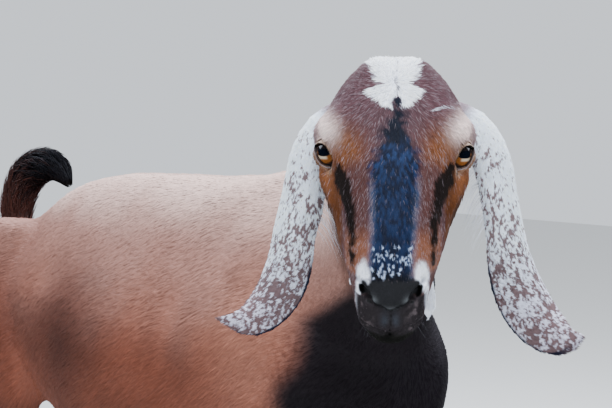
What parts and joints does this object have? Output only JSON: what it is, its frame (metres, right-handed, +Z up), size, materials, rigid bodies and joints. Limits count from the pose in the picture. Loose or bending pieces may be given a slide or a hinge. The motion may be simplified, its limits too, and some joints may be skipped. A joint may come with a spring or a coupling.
{
  "type": "nubian goat",
  "caption": "Life-size standing polled Nubian doe with chestnut and black coat, hanging roan ears, Roman nose, wattles and raised curling tail; head turned to the right.",
  "frame": {"origin": "middle of the bounding box, on the ground plane", "axes": "+X the way the body faces, +Y the goat's left side, +Z up"},
  "size_m": [1.1552, 0.4112, 0.9003],
  "materials": {
    "coat_chestnut": "short glossy red-brown goat hair with black and white face markings",
    "coat_black": "short and longer black goat hair",
    "coat_roan": "short white hair ticked with red-brown",
    "coat_white": "soft white hair",
    "eye": "wet amber eye with a level slot pupil",
    "horn": "dull dark hoof horn",
    "skin": "bare grey-pink skin under thin hair"
  },
  "bodies": {
    "root": {"head": "coat_chestnut", "neck": "coat_chestnut", "torso": "coat_chestnut", "foreleg_r": "coat_black", "foreleg_l": "coat_black", "hindleg_r": "coat_black", "hindleg_l": "coat_black", "eye_r": "eye", "wattle_r": "coat_white", "eye_l": "eye", "wattle_l": "coat_white", "ear_r": "coat_roan", "ear_l": "coat_roan", "tail_root": "coat_black", "tail_tip": "coat_black", "udder": "skin", "hoof_fore_r_a": "horn", "hoof_fore_r_b": "horn", "hoof_fore_l_a": "horn", "hoof_fore_l_b": "horn", "hoof_hind_r_a": "horn", "hoof_hind_r_b": "horn", "hoof_hind_l_a": "horn", "hoof_hind_l_b": "horn", "dewclaw_fore_r_a": "horn", "dewclaw_fore_r_b": "horn", "dewclaw_fore_l_a": "horn", "dewclaw_fore_l_b": "horn", "dewclaw_hind_r_a": "horn", "dewclaw_hind_r_b": "horn", "dewclaw_hind_l_a": "horn", "dewclaw_hind_l_b": "horn"}
  },
  "joints": []
}
